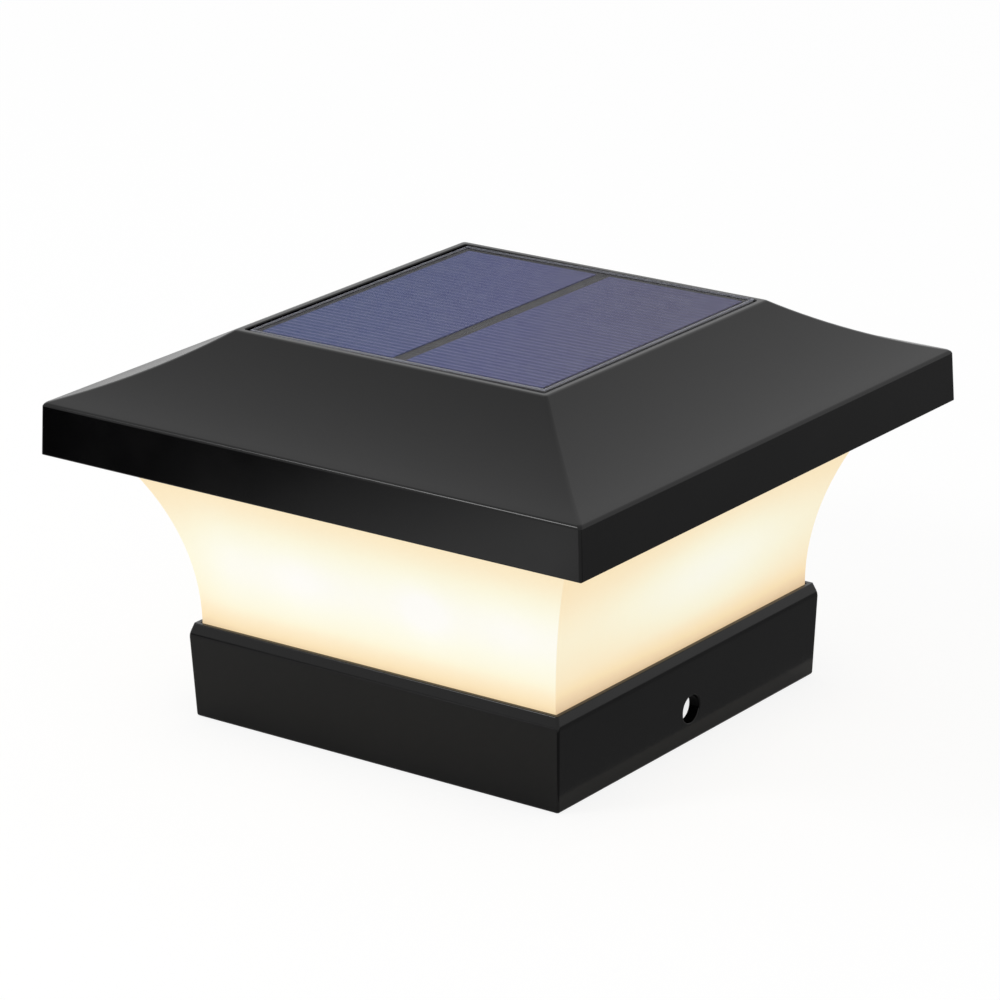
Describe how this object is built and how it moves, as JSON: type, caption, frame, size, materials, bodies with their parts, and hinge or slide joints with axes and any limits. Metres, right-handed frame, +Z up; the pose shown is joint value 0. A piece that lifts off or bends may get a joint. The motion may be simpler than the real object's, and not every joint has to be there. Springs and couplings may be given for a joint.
{
  "type": "deck post cap light",
  "caption": "Square solar post cap light: a hollow-sloped roof with a recessed solar panel over a flared glowing diffuser and an open collar that slips over a post.",
  "frame": {"origin": "middle of the collar's lower edge, which is the bottom of the whole light", "axes": "+Z up, along the post; +X through one of the two screw holes; -Y is the front"},
  "size_m": [0.16, 0.16, 0.0992],
  "materials": {
    "black_gloss_plastic": "satin gloss, moulded",
    "black_deck_plastic": "fine matt, moulded",
    "milky_plastic": "satin, milky, lit warm white from inside",
    "white_plastic": "matt white",
    "clear_resin": "clear, smooth",
    "solar_cell": "blue violet with fine pale lines",
    "panel_backing": "dark grey board",
    "foam_tape": "closed foam",
    "seal_rubber": "smooth silicone",
    "circuit_board": "green solder mask",
    "light_board": "white solder mask",
    "light_emitter": "yellow phosphor",
    "component_black": "matt",
    "battery_wrap": "plain shrink sleeve",
    "bright_steel": "nickel plated",
    "spring_steel": "nickel plated strip",
    "button_plastic": "fine matt",
    "wire_insulation": "smooth"
  },
  "bodies": {
    "housing": {"roof_shell": "black_gloss_plastic", "panel_tape": "foam_tape", "panel_board": "panel_backing", "solar_cells": "solar_cell", "panel_cover": "clear_resin", "roof_gasket": "seal_rubber", "diffuser": "milky_plastic", "base_collar": "black_gloss_plastic", "collar_gasket": "seal_rubber", "deck_plate": "black_deck_plastic", "battery_cell": "battery_wrap", "battery_plus_cap": "bright_steel", "contact_plus": "spring_steel", "contact_minus": "spring_steel", "button_seal": "seal_rubber", "switch_body": "component_black", "switch_board": "circuit_board", "light_core": "white_plastic", "led_board_front": "light_board", "leds_front": "light_emitter", "led_board_rear": "light_board", "leds_rear": "light_emitter", "control_board": "circuit_board", "board_parts": "component_black", "tie_screws": "bright_steel", "core_screws": "bright_steel", "board_screws": "bright_steel", "panel_leads": "wire_insulation", "led_leads": "wire_insulation"},
    "door": {"battery_door": "black_deck_plastic", "door_gasket": "seal_rubber", "door_screws": "bright_steel"},
    "button": {"mode_button": "button_plastic", "switch_plunger": "component_black"}
  },
  "joints": [
    {"name": "button_press", "type": "slide", "parent": "housing", "child": "button", "axis": [0, 0, 1], "range_m": [0, 0.001], "stiffness_N_per_m": 400},
    {"name": "door_lift_off", "type": "slide", "parent": "housing", "child": "door", "axis": [0, 0, -1], "range_m": [0, 0.03]}
  ]
}
